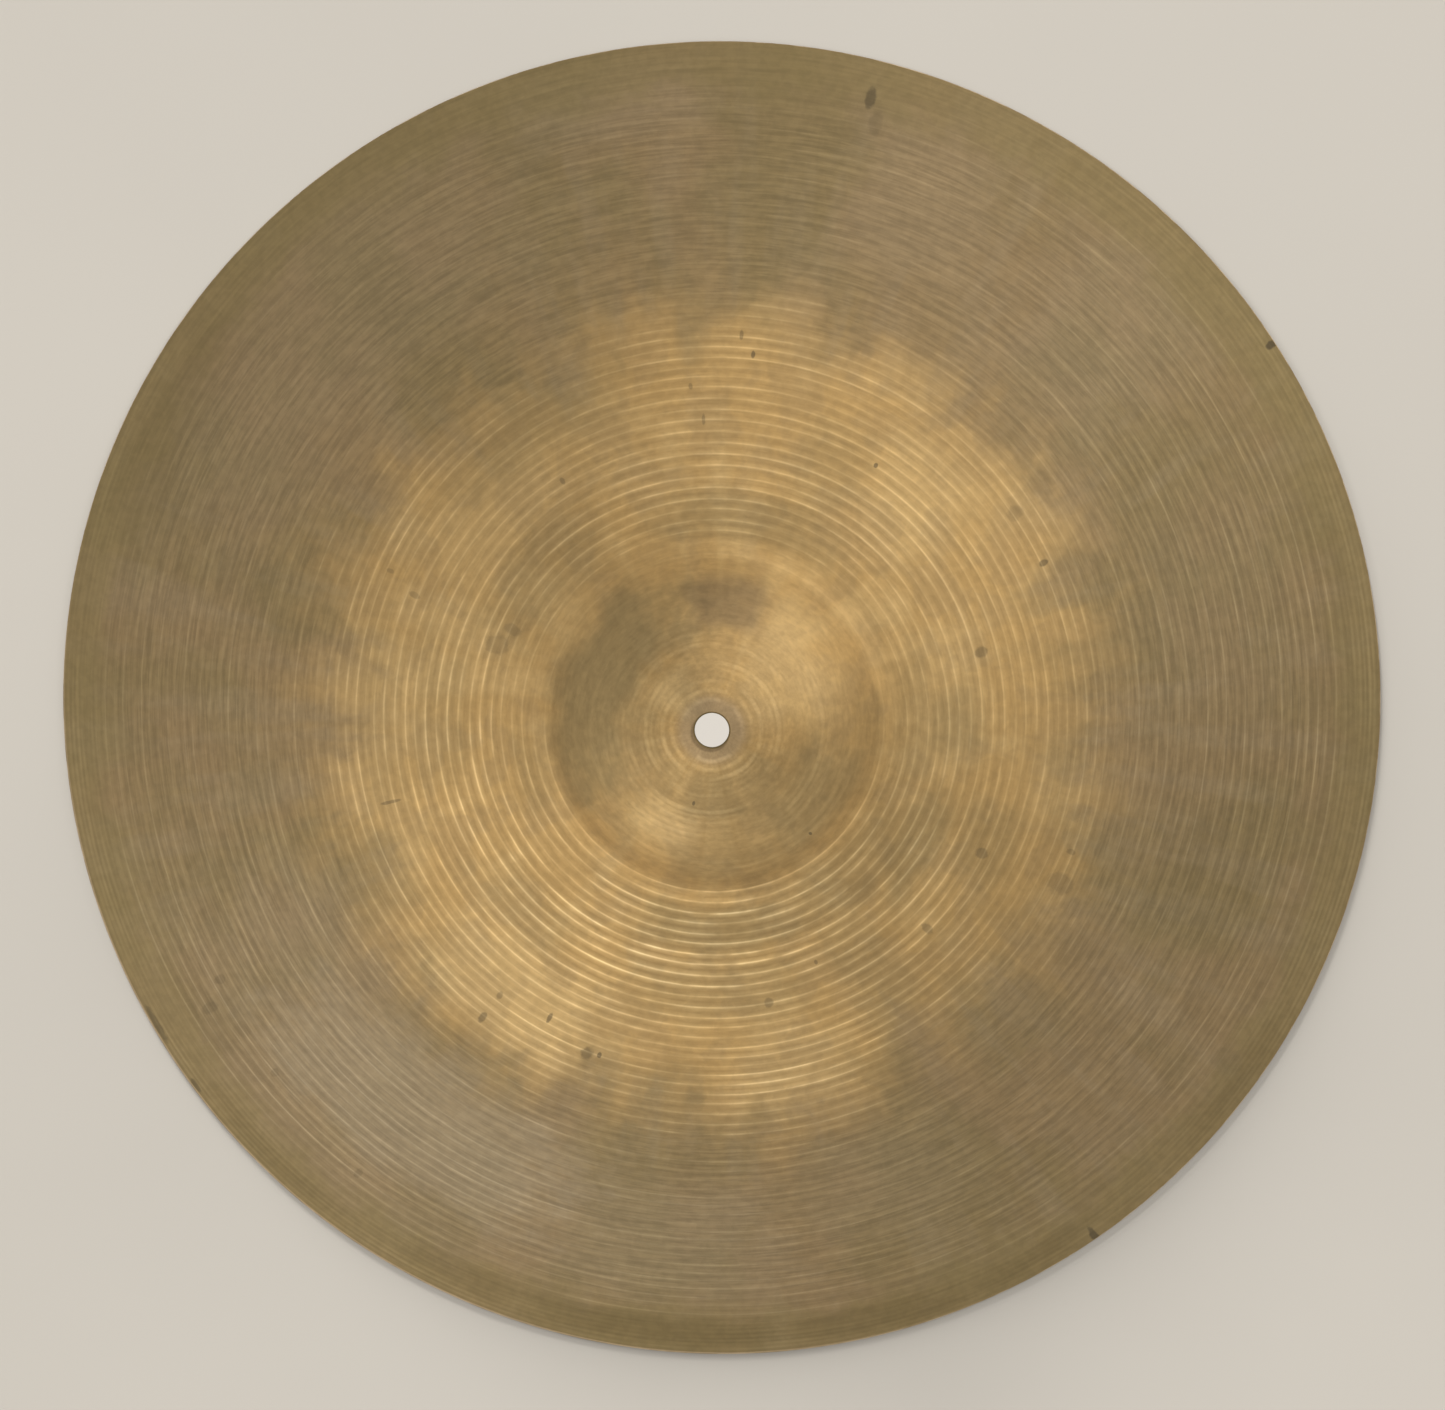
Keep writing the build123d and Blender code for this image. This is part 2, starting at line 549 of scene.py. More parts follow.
def drip_spot_group():
    """One dried drip: an oval with a ragged edge and a darker rim."""
    tree, given, out = new_group(
        "Drip spot",
        [("Place", VECTOR, None), ("Centre", VECTOR, None), ("Turn", FLOAT, 0.0),
         ("Length", FLOAT, 0.004), ("Width", FLOAT, 0.003), ("Ragged", FLOAT, 0.5)],
        [("Spot", FLOAT)])
    offset = vector_maths(tree, "SUBTRACT", given.outputs["Place"], given.outputs["Centre"])
    turned = add(tree, "ShaderNodeVectorRotate", rotation_type="Z_AXIS")
    feed(tree, turned.inputs["Vector"], offset)
    feed(tree, turned.inputs["Angle"], maths(tree, "MULTIPLY", given.outputs["Turn"], -1.0))
    size = add(tree, "ShaderNodeCombineXYZ")
    feed(tree, size.inputs[0], given.outputs["Length"])
    feed(tree, size.inputs[1], given.outputs["Width"])
    feed(tree, size.inputs[2], 1.0)
    scaled = vector_maths(tree, "DIVIDE", turned.outputs[0], size.outputs[0])
    far = vector_maths(tree, "LENGTH", scaled)
    rough = maths(tree, "SUBTRACT", noise(tree, given.outputs["Place"], 420.0, 3.0, 0.6), 0.5)
    ragged = maths(tree, "MULTIPLY_ADD", rough, given.outputs["Ragged"], far)
    feed(tree, out.inputs["Spot"], ramp(tree, ragged, 1.02, 0.62))
    return tree


def area_group():
    """A soft patch that spans an angle round the disc and a band of radius."""
    tree, given, out = new_group(
        "Turned area",
        [("Radius", FLOAT, 0.1), ("Direction", VECTOR, None), ("Blur", FLOAT, 0.0),
         ("Sway", FLOAT, 0.0), ("Facing", VECTOR, None), ("Half", FLOAT, 0.3),
         ("Middle", FLOAT, 0.1), ("Depth", FLOAT, 0.01), ("Strength", FLOAT, 1.0)],
        [("Area", FLOAT)])
    along = facing(tree, given.outputs["Direction"], given.outputs["Facing"])
    turn = maths(tree, "ARCCOSINE", maths(tree, "MINIMUM", along, 1.0))
    turn = maths(tree, "DIVIDE", turn, given.outputs["Half"])
    turn = maths(tree, "ADD", turn, given.outputs["Blur"])
    away = maths(tree, "SUBTRACT", given.outputs["Radius"], given.outputs["Middle"])
    away = maths(tree, "DIVIDE", maths(tree, "ABSOLUTE", away), given.outputs["Depth"])
    away = maths(tree, "ADD", away, given.outputs["Sway"])
    area = maths(tree, "MULTIPLY", ramp(tree, turn, 1.4, 0.5), ramp(tree, away, 1.4, 0.5))
    feed(tree, out.inputs["Area"], maths(tree, "MULTIPLY", area, given.outputs["Strength"]))
    return tree


def cloud_group():
    """Soft mottling of the patina, from 0 to 1."""
    tree, given, out = new_group(
        "Patina cloud",
        [("Place", VECTOR, None), ("Size", FLOAT, 0.03), ("Low", FLOAT, 0.4), ("High", FLOAT, 0.6)],
        [("Cloud", FLOAT)])
    scale = maths(tree, "DIVIDE", 1.0, given.outputs["Size"])
    soft = noise(tree, given.outputs["Place"], scale, 4.0, 0.55, distortion=0.3)
    feed(tree, out.inputs["Cloud"], ramp(tree, soft, given.outputs["Low"], given.outputs["High"]))
    return tree


GROUPS = {}


def ridge_height(tree):
    """The groove ridges, from 0 in a groove to 1 on a ridge."""
    node = add(tree, "ShaderNodeAttribute", attribute_type="GEOMETRY", attribute_name=RIDGE)
    return node.outputs["Fac"]


def finish_groups():
    """The shared effects, each built once."""
    if not GROUPS:
        GROUPS.update(
            place=disc_place_group(), lines=lathe_line_group(), spokes=spoke_streak_group(),
            spot=drip_spot_group(), cloud=cloud_group(), area=area_group())
    return GROUPS


# ---- Bronze ------------------------------------------------------------------

# How far the golden bronze reaches, as a share of the disc's radius, by direction in
# degrees anticlockwise from +X.
GOLD_REACH = (
    (0, 0.52), (30, 0.565), (52, 0.565), (68, 0.565), (94, 0.585), (120, 0.535), (150, 0.57),
    (180, 0.54), (206, 0.57), (234, 0.59), (260, 0.55), (282, 0.61), (302, 0.54), (330, 0.56),
    (348, 0.535),
)

# How brightly the groove ridges show, by direction: in the gold and in the patina. This is partly wear
# and partly painted highlight, strongest where the light falls on the ridges.
RIDGE_WEAR_AND_HIGHLIGHT = (
    (0, 0.33), (45, 0.39), (90, 0.42), (135, 0.36), (180, 0.46), (225, 0.60), (270, 0.74),
    (315, 0.58),
)
OUTER_WEAR_AND_HIGHLIGHT = (
    (0, 0.26), (45, 0.12), (90, 0.05), (135, 0.08), (180, 0.16), (225, 0.27), (270, 0.19),
    (315, 0.16),
)

# Dried drips and small stains: direction in degrees, radius, length and width in
# millimetres, strength.
DRIPS = (
    (76, 215, 4.4, 2.2, 0.70), (75, 207, 5.5, 2.6, 0.20), (34, 227, 2.6, 1.5, 0.9),
    (-54, 227, 4.5, 1.6, 0.95), (160, 77, 5.0, 4.2, 0.30), (155, 74, 3.4, 2.2, 0.28),
    (35, 122, 3.6, 2.8, 0.22), (26, 122, 1.9, 1.3, 0.60), (15, 92, 2.6, 2.2, 0.42),
    (-25, 129, 5.5, 4.4, 0.32), (-26, 100, 2.6, 2.2, 0.45), (-44, 100, 2.6, 1.8, 0.42),
    (-79, 97, 2.1, 1.9, 0.40), (-128, 129, 2.4, 1.5, 0.50), (-111, 122, 2.7, 2.4, 0.50),
    (-109, 121, 1.2, 0.9, 0.70), (-119, 116, 2.2, 0.9, 0.60), (84, 123, 1.6, 0.8, 0.65),
    (86, 129, 2.0, 0.8, 0.45), (58, 101, 1.0, 0.8, 0.70), (-128, 119, 1.8, 1.2, 0.35),
    (157, 109, 2.4, 1.2, 0.35), (-150, 205, 4.0, 2.4, 0.25), (-34, 214, 7.5, 5.0, 0.20),
    (-166, 113, 4.5, 0.7, 0.45), (122, 95, 1.5, 1.0, 0.45), (92, 101, 2.2, 0.7, 0.40),
    (-67, 88, 1.0, 0.7, 0.5), (94, 112, 1.2, 0.8, 0.4), (-20, 128, 2.0, 1.2, 0.35),
    (155, 120, 1.6, 0.9, 0.3), (-48, 48, 0.8, 0.6, 0.75), (-104, 25, 1.0, 0.6, 0.7),
    (-152, 196, 2.6, 2.0, 0.25), (-141, 199, 2.2, 1.8, 0.25), (-128, 205, 2.6, 1.6, 0.25),
    (-151, 226.6, 1.4, 9.0, 0.50), (-144.5, 227.0, 1.1, 3.4, 0.50),
)

# Broad areas that follow the turning: direction and half its width in degrees, radius
# and half its depth in millimetres, strength.
# Olive areas: patina on the bow, and painted shade in the dark lobes on the bell.
OLIVE_AND_SHADE_AREAS = (
    (160, 58, 41, 13, 0.80), (128, 24, 39, 10, 0.40), (-36, 30, 41, 12, 0.55), (-78, 30, 48, 7, 0.35),
    (0, 12, 52, 5, 0.22), (80, 24, 70, 8, 0.42), (1, 9, 80, 10, 0.42), (-31, 14, 79, 8, 0.50),
    (139, 18, 76, 12, 0.34), (-90, 5, 75, 9, 0.25), (-58, 6, 96, 24, 0.30), (204, 8, 127, 13, 0.42),
    (122, 14, 116, 12, 0.32), (195, 12, 62, 6, 0.30), (-24, 8, 100, 10, 0.34), (66, 7, 92, 16, 0.28),
    (-45, 26, 68, 9, 0.36), (0, 20, 67, 8, 0.28), (182, 26, 24, 8, 0.45), (-90, 22, 70, 8, 0.54),
    (-85, 16, 37, 8, 0.25), (-135, 20, 23, 8, 0.30),
    (-90, 24, 23, 9, 0.48), (-45, 22, 23, 9, 0.35), (-90, 20, 92, 10, 0.32), (-135, 14, 90, 9, 0.24),
    (178, 15, 93, 10, 0.26), (180, 16, 112, 9, 0.20),
)
# Brown areas: painted shade on the top of the bell, with a brown mark.
BROWN_AND_SHADE_AREAS = (
    (82, 19, 41, 8, 0.68), (84, 10, 28, 12, 0.12),
)
# Pale areas: paler bronze, and painted highlights on the bell and bow where the light falls.
PALE_AND_HIGHLIGHT_AREAS = (
    (34, 30, 27, 16, 0.50), (52, 13, 41, 11, 0.60), (243, 18, 35, 10, 0.80), (104, 7, 27, 13, 0.35),
    (234, 17, 117, 18, 0.75), (48, 10, 101, 20, 0.50), (283, 9, 126, 15, 0.50), (350, 8, 119, 10, 0.40),
    (135, 26, 15, 9, 0.90), (135, 16, 104, 16, 0.40), (90, 14, 18, 9, 0.30), (186, 12, 110, 9, 0.12),
    (112, 8, 100, 18, 0.25),
)
HAZE_AREAS = (
    (233, 22, 174, 26, 0.80), (262, 16, 184, 24, 0.34), (212, 14, 160, 22, 0.36),
    (45, 9, 182, 38, 0.27), (68, 8, 188, 30, 0.25), (100, 9, 212, 14, 0.32), (12, 12, 176, 26, 0.14),
    (290, 10, 170, 22, 0.22), (135, 26, 190, 34, 0.22), (225, 26, 200, 26, 0.30),
)
RIM_TARNISH = (
    (-96, 13, 220, 6, 0.50), (-76, 9, 221, 6, 0.46), (-114, 6, 219, 6, 0.34), (-60, 6, 222, 5, 0.34),
    (-135, 8, 223, 4, 0.32), (-34, 7, 223, 4, 0.28), (150, 10, 212, 9, 0.22), (0, 22, 190, 34, 0.15),
    (-150, 6, 208, 8, 0.25),
)


def toward(degrees, length=1.0):
    """A vector outwards from the axis, by its direction and length."""
    turn = math.radians(degrees)
    return (length * math.cos(turn), length * math.sin(turn), 0.0)


def new_material(name):
    """A material with one Principled shader, its node tree and that shader."""
    material = bpy.data.materials.new(name)
    material.use_nodes = True
    tree = material.node_tree
    tree.nodes.clear()
    shader = add(tree, "ShaderNodeBsdfPrincipled")
    out = add(tree, "ShaderNodeOutputMaterial")
    tree.links.new(shader.outputs[0], out.inputs["Surface"])
    return material, tree, shader


def turned_shine(tree, shader, amount):
    """Stretches the highlights across the lathe's lines."""
    tangent = add(tree, "ShaderNodeTangent", direction_type="RADIAL", axis="Z")
    tree.links.new(tangent.outputs[0], shader.inputs["Tangent"])
    shader.inputs["Anisotropic"].default_value = amount
    shader.inputs["Anisotropic Rotation"].default_value = 0.25


def turned_relief(tree, shader, height, distance):
    """Fine relief of the lathe's lines."""
    bump = add(tree, "ShaderNodeBump")
    bump.inputs["Strength"].default_value = 0.35
    bump.inputs["Distance"].default_value = distance
    feed(tree, bump.inputs["Height"], height)
    tree.links.new(bump.outputs[0], shader.inputs["Normal"])


def round_curve(tree, angle, points):
    """A value that follows the direction round the disc."""
    share = ramp(tree, angle, -math.pi, math.pi, smooth=False)
    node = add(tree, "ShaderNodeFloatCurve")
    feed(tree, node.inputs["Value"], share)
    curve = node.mapping.curves[0]
    wanted = sorted((((d + 180) % 360) / 360, r) for d, r in points)
    first, last = wanted[0], wanted[-1]
    if first[0] > 0:
        edge = first[1] + (last[1] - first[1]) * first[0] / (first[0] + 1 - last[0])
        wanted = [(0.0, edge), *wanted, (1.0, edge)]
    else:
        wanted.append((1.0, first[1]))
    while len(curve.points) < len(wanted):
        curve.points.new(0.5, 0.5)
    for point, (x, y) in zip(curve.points, wanted):
        point.location = (x, y)
    node.mapping.update()
    return node.outputs[0]


def strongest(tree, masks):
    """The highest of several masks."""
    total = masks[0]
    for mask in masks[1:]:
        total = maths(tree, "MAXIMUM", total, mask)
    return total


def spots(tree, place, entries, ragged):
    """Round spots and drips, each with its own place, size and strength."""
    masks = []
    for direction, radius, length, width, strength in entries:
        spot = use(
            tree, finish_groups()["spot"], Place=place, Centre=toward(direction, radius * MM),
            Turn=math.radians(direction), Length=length * MM, Width=width * MM, Ragged=ragged)
        masks.append(maths(tree, "MULTIPLY", spot["Spot"], strength))
    return strongest(tree, masks)


def soft_areas(tree, spot, blur, sway, entries):
    """Wide soft patches bounded along the turning and across it."""
    masks = []
    for direction, half, radius, depth, strength in entries:
        area = use(
            tree, finish_groups()["area"], Radius=spot["Radius"], Direction=spot["Direction"],
            Blur=blur, Sway=sway, Facing=toward(direction), Half=math.radians(half),
            Middle=radius * MM, Depth=depth * MM, Strength=strength)
        masks.append(area["Area"])
    return strongest(tree, masks)


class TopMasks:
    """Masks of the upper face that several of its layers share."""

    def __init__(self, tree):
        self.tree = tree
        self.spot = use(tree, finish_groups()["place"])
        self.place, self.angle = self.spot["Place"], self.spot["Angle"]
        self.radius, self.direction = self.spot["Radius"], self.spot["Direction"]
        self.share = maths(tree, "DIVIDE", self.radius, DISC_RADIUS)

        # Streaks that run outwards, from broad to thin.
        self.wide = self.streaks(4.0, 0.20, 1.5)
        self.finger = self.streaks(8.0, 0.07, 1.5)
        self.thin = self.streaks(17.0, 0.06, 2.5)

        # Soft mottling, from broad to fine.
        self.cloud = self.clouds(0.050, 0.34, 0.66)
        self.mottle = self.clouds(0.018, 0.36, 0.64)
        self.specks = self.clouds(0.0035, 0.3, 0.7)

        # Turned lines: shading, short dashes, hairlines, and the gaps in worn ridges.
        self.lines = self.turned(0.0022, 2.2)
        self.dashes = self.turned(0.0012, 12.0)
        self.hairs = self.turned(0.0007, 9.0)
        self.breaks = self.turned(0.0040, 5.0)
        self.arcs = self.turned(0.0110, 1.3)

        # Noise that blurs the broad areas' ends and sides.
        self.blur = swing(tree, noise(tree, self.place, 70.0, 3.0, 0.6), 1.3, 0.0)
        self.sway = swing(tree, noise(tree, self.place, 45.0, 3.0, 0.6, w=3.0), 1.3, 0.0)

    def streaks(self, spokes, length, detail):
        return use(
            self.tree, finish_groups()["spokes"], Radius=self.radius, Direction=self.direction,
            Spokes=spokes, Length=length, Detail=detail)["Streaks"]

    def clouds(self, size, low, high):
        return use(
            self.tree, finish_groups()["cloud"], Place=self.place, Size=size, Low=low,
            High=high)["Cloud"]

    def turned(self, spacing, breakup):
        return use(
            self.tree, finish_groups()["lines"], Radius=self.radius, Direction=self.direction,
            Spacing=spacing, Breakup=breakup)["Lines"]

    def areas(self, entries):
        return soft_areas(self.tree, self.spot, self.blur, self.sway, entries)


def dullness(masks):
    """From 0 in the golden bronze to 1 in the outer patina, with a soft, streaked edge."""
    tree = masks.tree
    reach = round_curve(tree, masks.angle, GOLD_REACH)
    ragged = swing(tree, masks.finger, 0.19, masks.share)
    ragged = swing(tree, masks.thin, 0.05, ragged)
    ragged = swing(tree, masks.mottle, 0.06, ragged)
    beyond = maths(tree, "SUBTRACT", ragged, reach)
    edge_step = ramp(tree, beyond, -0.07, 0.085, 0.0, 0.62)
    return maths(tree, "ADD", edge_step, ramp(tree, beyond, -0.12, 0.18, 0.0, 0.38))


def golden_skin(masks, finish):
    """Golden bronze, paler in soft patches and browner or greener in others; on the bell some of these
    patches are painted highlight and painted shade.
    """
    tree = masks.tree
    # Pale patches: paler bronze, and painted highlights in the pale areas.
    pale_and_highlight = ramp(tree, swing(tree, masks.cloud, 0.5, masks.finger), 0.40, 0.80, 0.0, 0.45)
    pale_and_highlight = maths(tree, "MAXIMUM", pale_and_highlight, masks.areas(PALE_AND_HIGHLIGHT_AREAS))
    gold = blend(tree, pale_and_highlight, tuple(finish.gold), tuple(finish.pale_gold_and_highlight))
    browned = ramp(tree, swing(tree, masks.cloud, 0.45, masks.mottle), 0.62, 0.05, 0.0, 0.26)
    gold = blend(tree, browned, gold, tuple(finish.umber))
    # Olive areas: patina, and painted shade on the bell.
    gold = blend(tree, masks.areas(OLIVE_AND_SHADE_AREAS), gold, tuple(finish.olive_patina_and_shade))
    # Painted shade on the top of the bell, in brown.
    return blend(tree, masks.areas(BROWN_AND_SHADE_AREAS), gold, tuple(finish.brown_mark_and_shade))


def patina_skin(masks, finish, rim_share):
    """Outer patina: umber and olive patches, a silvery haze and an olive rim."""
    tree = masks.tree
    warm = ramp(tree, swing(tree, masks.cloud, 0.25, masks.wide), 0.34, 0.68)
    outer = blend(tree, warm, tuple(finish.olive_patina_and_shade), tuple(finish.umber))
    haze = ramp(tree, masks.thin, 0.42, 0.68, 0.0, 0.25)
    haze = maths(tree, "MAXIMUM", haze, masks.areas(HAZE_AREAS))
    outer = blend(tree, haze, outer, tuple(finish.grey))
    rim = ramp(tree, rim_share, 0.90, 0.96, 0.0, 0.6)
    outer = blend(tree, rim, outer, tuple(finish.rim_olive))
    return blend(tree, masks.areas(RIM_TARNISH), outer, tuple(finish.tarnish))


def worn_ridge_highlights(masks, crest, dull):
    """How much lighter the ridges are painted than the grooves between them: partly wear, partly painted
    highlight.
    """
    tree, share = masks.tree, masks.share
    inner_wear_and_highlight = maths(tree, "MULTIPLY", round_curve(tree, masks.angle, RIDGE_WEAR_AND_HIGHLIGHT),
                       ramp(tree, share, 0.38, 0.46, 1.45, 1.0))
    outer_wear_and_highlight = maths(tree, "MULTIPLY", round_curve(tree, masks.angle, OUTER_WEAR_AND_HIGHLIGHT),
                       ramp(tree, share, 0.70, 0.80, 1.0, 1.35))
    wear_and_highlight = ramp(tree, dull, 0.0, 0.9, inner_wear_and_highlight, outer_wear_and_highlight)

    # Long arcs on the bell and shorter ones on the bow.
    crown_arcs = ramp(tree, masks.arcs, 0.40, 0.60, 0.1, 1.0)
    bow_arcs = ramp(tree, masks.breaks, 0.38, 0.60, 0.45, 1.25)
    wear_and_highlight = maths(tree, "MULTIPLY", wear_and_highlight, ramp(tree, share, 0.22, 0.26, crown_arcs, bow_arcs))

    # Round the bell's flank the painted ridge highlights show only on the lower side.
    low_side = ramp(tree, maths(tree, "SINE", masks.angle), -0.5, 0.3, 1.0, 0.0)
    on_bow = ramp(tree, share, 0.25, 0.32)
    on_crown = ramp(tree, share, 0.18, 0.14)
    shown = strongest(tree, [low_side, on_bow, on_crown])
    wear_and_highlight = maths(tree, "MULTIPLY", wear_and_highlight, ramp(tree, shown, 0.0, 1.0, 0.25, 1.0))
    return maths(tree, "MULTIPLY", crest, wear_and_highlight)


def turned_shade(masks, dull, glint, rim_share):
    """Light and dark of the turned lines, ridges, dashes and a lighter band round the bell's flank."""
    tree, share = masks.tree, masks.share
    shade = ramp(tree, masks.lines, 0.35, 0.65, 0.955, 1.045)
    shade = maths(tree, "MULTIPLY", shade, maths(tree, "ADD", glint, 0.91))

    depth = ramp(tree, share, 0.16, 0.24, 0.06, 0.05)
    depth = maths(tree, "MAXIMUM", depth, ramp(tree, dull, 0.3, 1.0, 0.05, 0.11))
    depth = maths(tree, "MULTIPLY", depth, ramp(tree, rim_share, 0.87, 0.94, 1.0, 0.4))
    dash = ramp(tree, masks.dashes, 0.33, 0.67, -1.0, 1.0)
    shade = maths(tree, "MULTIPLY", shade, maths(tree, "MULTIPLY_ADD", dash, depth, 1.0))

    # A band round the bell's flank is made lighter all round.
    flank = maths(tree, "MULTIPLY", ramp(tree, share, 0.10, 0.17),
                  ramp(tree, share, 0.265, 0.235))
    shade = maths(tree, "MULTIPLY", shade, maths(tree, "MULTIPLY_ADD", flank, 0.14, 1.0))
    return maths(tree, "MULTIPLY", shade, ramp(tree, masks.specks, 0.0, 1.0, 0.95, 1.04))


def hole_and_rim(masks, finish, skin):
    """Adds the felts' dull disc, the hole's brown lip, and bare metal with a painted highlight on the
    rim's lower left side.
    """
    tree, radius = masks.tree, masks.radius
    felt = ramp(tree, radius, 0.0135, 0.0085, 0.0, 0.5)
    skin = blend(tree, felt, skin, tuple(finish.mauve))

    # The lip is widest on its lower left side.
    from_lip = maths(tree, "SUBTRACT", radius, facing(tree, masks.direction, toward(238, 1 * MM)))
    lip = ramp(tree, from_lip, HOLE_RADIUS + 1.1 * MM, HOLE_RADIUS + 0.3 * MM, 0.0, 0.75)
    skin = blend(tree, lip, skin, tuple(finish.brown_mark_and_shade))

    # Bare bronze on the rim's edge, with a painted highlight on its lower left side.
    on_edge = ramp(tree, radius, DISC_RADIUS - 0.9 * MM, DISC_RADIUS - 0.4 * MM, 0.0, 0.7)
    worn_and_lit_side = ramp(tree, facing(tree, masks.direction, toward(232)), 0.35, 0.85)
    worn = maths(tree, "MULTIPLY", worn_and_lit_side, on_edge)
    return blend(tree, worn, skin, tuple(finish.edge))


def playing_side(finish):
    """Upper face: golden round the bell, dull and streaked outside, with old drips."""
    material, tree, shader = new_material("bronze_playing_side")
    masks = TopMasks(tree)
    rim_share = swing(tree, masks.mottle, 0.03, masks.share)
    rim_share = swing(tree, masks.finger, 0.05, rim_share)
    dull = dullness(masks)
    skin = blend(tree, dull, golden_skin(masks, finish), patina_skin(masks, finish, rim_share))
    skin = hole_and_rim(masks, finish, skin)
    marks = spots(tree, masks.place, DRIPS, 0.8)
    skin = blend(tree, marks, skin, tuple(finish.stain))

    # The ridges' wear and painted highlight make them paler as well as brighter.
    crest = ridge_height(tree)
    glint = worn_ridge_highlights(masks, crest, dull)
    shade = turned_shade(masks, dull, glint, rim_share)
    tint = add(tree, "ShaderNodeCombineXYZ")
    for socket, paler in zip(tint.inputs, (0.0, 0.10, 0.30)):
        lift = maths(tree, "MULTIPLY_ADD", glint, paler, 1.0)
        feed(tree, socket, maths(tree, "MULTIPLY", shade, lift))
    feed(tree, shader.inputs["Base Color"], blend(tree, 1.0, skin, tint.outputs[0], "MULTIPLY"))

    metal = maths(tree, "MULTIPLY_ADD", marks, -0.5, ramp(tree, dull, 0.0, 1.0, 0.95, 0.78))
    feed(tree, shader.inputs["Metallic"], metal)
    rough = swing(tree, masks.lines, 0.10, ramp(tree, dull, 0.0, 1.0, 0.40, 0.52))
    rough = maths(tree, "MULTIPLY_ADD", crest, -0.06, rough)
    feed(tree, shader.inputs["Roughness"], maths(tree, "MULTIPLY_ADD", marks, 0.18, rough))

    relief = maths(tree, "MULTIPLY_ADD", masks.hairs, 0.5, masks.lines)
    relief = maths(tree, "MULTIPLY_ADD", masks.specks, 0.15, relief)
    turned_relief(tree, shader, relief, 0.00012)
    turned_shine(tree, shader, 0.6)
    return material


def under_side(finish):
    """Lower face: an even brown patina with turned lines."""
    material, tree, shader = new_material("bronze_under_side")
    groups = finish_groups()
    spot = use(tree, groups["place"])
    place, radius, direction = (spot[n] for n in ("Place", "Radius", "Direction"))
    thin = use(
        tree, groups["spokes"], Radius=radius, Direction=direction, Spokes=9.0,
        Length=0.08)["Streaks"]
    cloud = use(tree, groups["cloud"], Place=place, Size=0.06, Low=0.38, High=0.64)["Cloud"]
    lines = use(
        tree, groups["lines"], Radius=radius, Direction=direction, Spacing=0.0019,
        Breakup=3.0)["Lines"]
    skin = blend(tree, ramp(tree, thin, 0.35, 0.68), tuple(finish.olive_patina_and_shade), tuple(finish.umber))
    skin = blend(tree, maths(tree, "MULTIPLY", cloud, 0.7), skin, tuple(finish.gold))
    skin = blend(tree, ramp(tree, lines, 0.42, 0.62, 0.0, 0.35), skin, tuple(finish.pale_gold_and_highlight))
    feed(tree, shader.inputs["Base Color"], skin)
    shader.inputs["Metallic"].default_value = 0.9
    feed(tree, shader.inputs["Roughness"], ramp(tree, lines, 0.3, 0.7, 0.50, 0.38))
    turned_relief(tree, shader, lines, 0.00015)
    turned_shine(tree, shader, 0.6)
    return material


def worn_edge(finish):
    """Bare bronze on the rim's wall, browned in places, and tarnish in the hole."""
    material, tree, shader = new_material("bronze_worn_edge")
    groups = finish_groups()
    spot = use(tree, groups["place"])
    worn = use(tree, groups["cloud"], Place=spot["Place"], Size=0.012, Low=0.40, High=0.62)["Cloud"]
    skin = blend(tree, worn, tuple(finish.umber), tuple(finish.edge))
    in_hole = ramp(tree, spot["Radius"], 0.05, 0.02)
    skin = blend(tree, in_hole, skin, tuple(finish.tarnish))
    feed(tree, shader.inputs["Base Color"], skin)
    shader.inputs["Metallic"].default_value = 0.95
    feed(tree, shader.inputs["Roughness"], ramp(tree, worn, 0.0, 1.0, 0.5, 0.34))
    return material


# ---- Operators ---------------------------------------------------------------


class CYMBAL_OT_disc(bpy.types.Operator):
    """Turn the bronze disc with its bell, grooves and hammer marks"""

    bl_idname = "cymbal.disc"
    bl_label = "Bronze disc"

    def execute(self, context):
        scene = context.scene
        mesh = build_disc(scene.cymbal_shape, scene.cymbal_lathe)
        finish = scene.cymbal_finish
        for material in (playing_side(finish), worn_edge(finish), under_side(finish)):
            mesh.materials.append(material)
        disc = bpy.data.objects.new("bronze_disc", mesh)
        scene.collection.objects.link(disc)
        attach(disc, "root")
        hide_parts(NODE)
        return {"FINISHED"}


# Low lights: name, direction in degrees anticlockwise from +X, share of the low light's strength.
LOW_LIGHTS = (
    ("low_light", 108, 1.0), ("second_low_light", 152, 0.4), ("third_low_light", 38, 0.25),
)
LOW_LIGHT_RISE = math.radians(10.5)
LOW_LIGHT_WIDTH = math.radians(13)
WINDOW_SIZE = 2.4
FLOOR_HALF = 40.0
FLOOR_GAP = 0.1 * MM


def shines_on(holder, objects):
    """Names the objects a light falls on. Every light names its own, so none counts twice."""
    lit = bpy.data.collections.new(f"lit_by_{holder.name}")
    for thing in objects:
        lit.objects.link(thing)
    holder.light_linking.receiver_collection = lit


def window(scene, name, place, power, tint, objects):
    """A large soft light that faces the disc."""
    light = bpy.data.lights.new(name, "AREA")
    light.shape = "SQUARE"
    light.size = WINDOW_SIZE
    light.energy = power
    light.color = tint
    holder = bpy.data.objects.new(name, light)
    holder.location = place
    aim = Vector((0.0, 0.0, 0.0)) - Vector(place)
    holder.rotation_euler = aim.to_track_quat("-Z", "Y").to_euler()
    scene.collection.objects.link(holder)
    shines_on(holder, objects)


